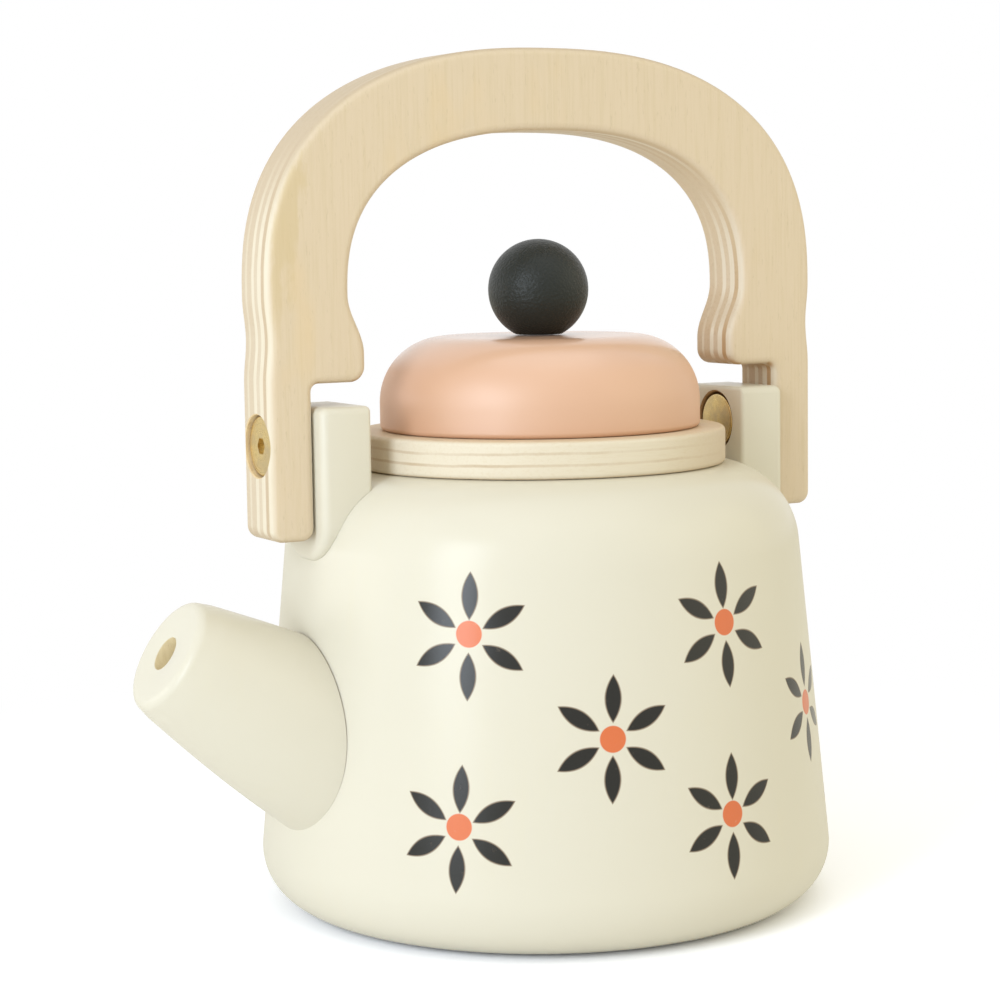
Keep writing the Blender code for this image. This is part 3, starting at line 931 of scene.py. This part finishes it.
def makeBolt(name, side, node, brass):
    pivot = pivotShape
    head, fine, shankEnd = pivot["head"], pivot["fineRound"], pivot["shankEnd"]
    face = legOuter - pivot["sunk"]
    back = face - pivot["thick"]
    corners = [(0, back, 0), (head, back, fine), (head, face, pivot["rim"]), (0, face, 0)]
    bolt = turn(name, roundOff(corners, pivot["roundSteps"], fine), pivot["turnSteps"])
    deselect()
    across = pivot["socket"] / math.cos(math.pi / 6)
    bpy.ops.mesh.primitive_cylinder_add(vertices=6, radius=across / 2, depth=2 * pivot["socketDepth"])
    socket = bpy.context.object
    place(socket, (0, 0, face))
    # a short shank goes on behind the head
    top = back + pivot["shankOverlap"]
    line = [(0, shankEnd), (pivot["shank"], shankEnd), (pivot["shank"], top), (0, top)]
    shank = turn("shank", line, pivot["shankSteps"])
    useModifier(bolt, "BOOLEAN", operation="UNION", solver="EXACT", object=shank)
    cutAway(bolt, socket)
    drop(shank, socket)
    alongPivot(bolt, side)
    return dress(bolt, "kettle", [node], "brass", brass)


brass = makeBrass("brass_plate", pivotShape["height"])
bodyCutter = makeBodyCutter()
for side, end in ((-1, "front"), (1, "rear")):
    makeLug(end + "_block", side, end + "_lug", bodyCutter)
    makeNut(end + "_nut", side, end + "_sleeve_nut", brass)
    makeBolt(end + "_bolt", side, end + "_pivot_bolt", brass)
drop(bodyCutter)
print("lugs, nuts and bolts made")


# Handle

handleShape = {
    "thick": 0.0135,
    "crown": 0.16898,
    "innerCrown": 0.15298,
    "springing": 0.122,
    "innerLimb": 0.0445,
    "nose": 0.0413,
    "step": 0.10539,
    "legLow": 0.0757,
    "waist": 0.0006,
    "noseRise": 0.0054,
    "noseRound": 0.003,
    "fillet": 0.0016,
    "endRound": 0.0025,
    "exponent": 2.45,  # how square the arch is
    "edge": 0.0015,
    "edgeSteps": 6,
    "border": 0.0003,
    "archSteps": 44,
    "bendSteps": 16,
    "cornerSteps": 8,
    "cutFrom": 0.050,
    "cutPast": 0.003,
    "mouth": 0.0002,
}


def archLine(halfWidth, top):
    shape = handleShape
    springing, steps = shape["springing"], shape["archSteps"]
    power = 2 / shape["exponent"]
    points = []
    for step in range(steps + 1):
        angle = math.pi / 2 * (1 - step / steps)
        across = halfWidth * math.cos(angle) ** power if step else 0.0
        height = (top - springing) * math.sin(angle) ** power if step < steps else 0.0
        points.append((across, springing + height))
    return points


def handleHalf():
    # right half of the outline: down the outside, round the leg and the nose, up the inside
    shape = handleShape
    springing, step, bends = shape["springing"], shape["step"], shape["bendSteps"]
    points = archLine(legOuter, shape["crown"])
    for number in range(1, bends + 1):
        share = number / bends
        dip = shape["waist"] * math.sin(math.pi * share) ** 2
        points.append((legOuter - dip, springing + (step - springing) * share))
    low = step + shape["noseRise"]
    corners = [(legOuter, step, 0), (legOuter, shape["legLow"], shape["endRound"])]
    corners += [(legInner, shape["legLow"], shape["endRound"]), (legInner, step, shape["fillet"])]
    corners += [(shape["nose"], step, shape["noseRound"]), (shape["nose"], low, 0)]
    points += roundOff(corners, shape["cornerSteps"], 0.0002)[1:]
    for number in range(1, bends):
        share = number / bends
        ease = (1 - math.cos(math.pi * share)) / 2
        across = shape["nose"] + (shape["innerLimb"] - shape["nose"]) * ease
        points.append((across, low + (springing - low) * share))
    return points + archLine(shape["innerLimb"], shape["innerCrown"])[::-1]


def borderFaces(piece, width):
    # a narrow border keeps the broad faces' shading flat
    for face in piece.data.polygons:
        face.select = abs(face.normal.y) > 0.999 and face.area > 0.0005
    pick(piece)
    bpy.ops.object.mode_set(mode="EDIT")
    bpy.ops.mesh.select_mode(type="FACE")
    bpy.ops.mesh.inset(thickness=width, use_even_offset=True)
    bpy.ops.mesh.select_mode(type="VERT")
    bpy.ops.object.mode_set(mode="OBJECT")


def makeHandle():
    shape, pivot = handleShape, pivotShape
    half = handleHalf()
    outline = half + [(-x, z) for x, z in reversed(half[1:-1])]
    handle = drawLine("grip", [(x, -shape["thick"] / 2, z) for x, z in outline])
    bpy.ops.mesh.edge_face_add()
    bpy.ops.mesh.extrude_region_move(TRANSFORM_OT_translate={"value": (0, shape["thick"], 0)})
    tidyMesh()
    sharp = math.radians(60)
    useModifier(handle, "BEVEL", width=shape["edge"], segments=shape["edgeSteps"],
                limit_method="ANGLE", angle_limit=sharp)
    borderFaces(handle, shape["border"])
    recess, hole, mouth = pivot["recess"], pivot["hole"], shape["mouth"]
    floor = legOuter - pivot["recessDepth"]
    past = legOuter + shape["cutPast"]
    line = [(0, shape["cutFrom"]), (hole, shape["cutFrom"]), (hole, floor), (recess, floor)]
    line += [(recess, legOuter - mouth), (recess + mouth, legOuter), (recess + mouth, past), (0, past)]
    for side in (-1, 1):
        cutter = alongPivot(turn("legCutter", line, pivot["turnSteps"]), side)
        cutAway(handle, cutter)
        drop(cutter)
    dress(handle, "handle", ["handle"], "birch_ply", handlePly, bareWood, smooth=35)
    for side in (-1, 1):
        paintFaces(handle, 1, inRecess(side * legOuter))
    return handle


makeHandle()
print("handle sawn and rounded")

for name in ("spout_dowel", "front_lug_pin_1", "front_lug_pin_2", "rear_lug_pin_1", "rear_lug_pin_2"):
    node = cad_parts[name]
    node.data.materials.clear()
    node.data.materials.append(bareWood)


# Camera, light and floor

cameraPlace = {
    "at": (-0.24563, -0.43623, 0.13288),
    "yaw": math.radians(28.44),
    "pitch": math.radians(-6.06),
    "roll": math.radians(-0.85),
    "lens": 90.10,
    "sensor": 36.0,
    "nearest": 0.01,
}


def setCamera():
    look = cameraPlace
    yaw, pitch, roll = look["yaw"], look["pitch"], look["roll"]
    ahead = Vector((math.sin(yaw) * math.cos(pitch), math.cos(yaw) * math.cos(pitch), math.sin(pitch)))
    right = Vector((math.cos(yaw), -math.sin(yaw), 0))
    up = right.cross(ahead)
    across = math.cos(roll) * right + math.sin(roll) * up
    upright = math.cos(roll) * up - math.sin(roll) * right
    camera = bpy.data.objects.new("camera", bpy.data.cameras.new("camera"))
    bpy.context.scene.collection.objects.link(camera)
    turned = Matrix((across, upright, -ahead)).transposed().to_4x4()
    camera.matrix_world = Matrix.Translation(look["at"]) @ turned
    camera.data.sensor_width = look["sensor"]
    camera.data.lens = look["lens"]
    camera.data.clip_start = look["nearest"]
    bpy.context.scene.camera = camera


lampAim = Vector((0, 0, 0.08))
lamps = [  # "round" and "up" are the degrees it shines from, "wide" and "tall" its sides
    {"name": "window", "round": -155, "up": 16, "away": 0.9, "wide": 0.32, "tall": 0.60,
     "watts": 4.0, "colour": (0.79, 0.885, 1.0)},
    {"name": "overhead", "round": -100, "up": 75, "away": 0.9, "wide": 0.9, "tall": 0.9,
     "watts": 1.7, "colour": (1.0, 1.0, 1.0)},
    {"name": "fill", "round": -34, "up": 20, "away": 1.3, "wide": 1.6, "tall": 1.2,
     "watts": 3.6, "colour": (1.0, 0.912, 0.555)},
    {"name": "rear", "round": 150, "up": 3, "away": 1.0, "wide": 0.8, "tall": 0.3,
     "watts": 1.0, "colour": (1.0, 1.0, 1.0)},
]


def addLamp(lamp):
    light = bpy.data.lights.new(lamp["name"], "AREA")
    light.shape = "RECTANGLE"
    light.size = lamp["wide"]
    light.size_y = lamp["tall"]
    light.energy = lamp["watts"]
    light.color = lamp["colour"]
    made = bpy.data.objects.new(lamp["name"], light)
    bpy.context.scene.collection.objects.link(made)
    around, up = math.radians(lamp["round"]), math.radians(lamp["up"])
    way = Vector((math.cos(around) * math.cos(up), math.sin(around) * math.cos(up), math.sin(up)))
    made.location = lampAim + way * lamp["away"]
    made.rotation_euler = way.to_track_quat("Z", "Y").to_euler()


floorLook = {
    "size": 6.0,
    "drop": 0.0002,
    "grey": 0.95,
    "seen": (1.26, 1.30, 1.46),  # what the camera sees, under the shadow
    "fadeFrom": 0.07,
    "fadeTo": 0.26,
}
skyLook = {"strength": 0.65, "colour": (1.0, 0.958, 0.80)}


def setFloor():
    look = floorLook
    deselect()
    bpy.ops.mesh.primitive_plane_add(size=look["size"], location=(0, 0, -look["drop"]))
    floor = bpy.context.object
    floor.name = "floor"
    bpy.ops.object.transform_apply(location=True, rotation=True, scale=True)
    material = bpy.data.materials.new("floor_white")
    material.use_nodes = True
    tree = material.node_tree
    tree.nodes.clear()
    path = Wire(tree, tree.nodes.new("ShaderNodeLightPath").outputs["Is Camera Ray"])
    coords = Wire(tree, tree.nodes.new("ShaderNodeTexCoord").outputs["Object"])
    away = coords.node("ShaderNodeVectorMath", {"operation": "LENGTH"}, {0: coords}, out="Value")
    white = away.between(look["fadeFrom"], look["fadeTo"]) * path
    shade = path.blend((look["grey"],) * 3, look["seen"])
    matt = path.node("ShaderNodeBsdfDiffuse", sockets={"Color": shade})
    glow = path.node("ShaderNodeEmission", sockets={"Color": (1, 1, 1, 1), "Strength": 1.0})
    both = path.node("ShaderNodeMixShader", sockets={0: white, 1: matt, 2: glow})
    output = tree.nodes.new("ShaderNodeOutputMaterial")
    tree.links.new(output.inputs["Surface"], both.socket)
    floor.data.materials.append(material)


def setSky():
    look = skyLook
    world = bpy.data.worlds.new("studio")
    world.use_nodes = True
    bpy.context.scene.world = world
    tree = world.node_tree
    tree.nodes.clear()
    light = tree.nodes.new("ShaderNodeLightPath").outputs
    seen = Wire(tree, light["Is Camera Ray"])
    for ray in ("Is Glossy Ray", "Is Transmission Ray"):
        seen = seen.maths("MAXIMUM", seen, Wire(tree, light[ray]))
    strength = seen * (1 - look["strength"]) + look["strength"]
    colour = seen.blend(look["colour"], (1.0, 1.0, 1.0))
    sky = seen.node("ShaderNodeBackground", sockets={"Color": colour, "Strength": strength})
    output = tree.nodes.new("ShaderNodeOutputWorld")
    tree.links.new(output.inputs["Surface"], sky.socket)


setCamera()
for lamp in lamps:
    addLamp(lamp)
setFloor()
setSky()
bpy.context.scene.view_settings.view_transform = "Standard"
print("camera, lamps and floor set")
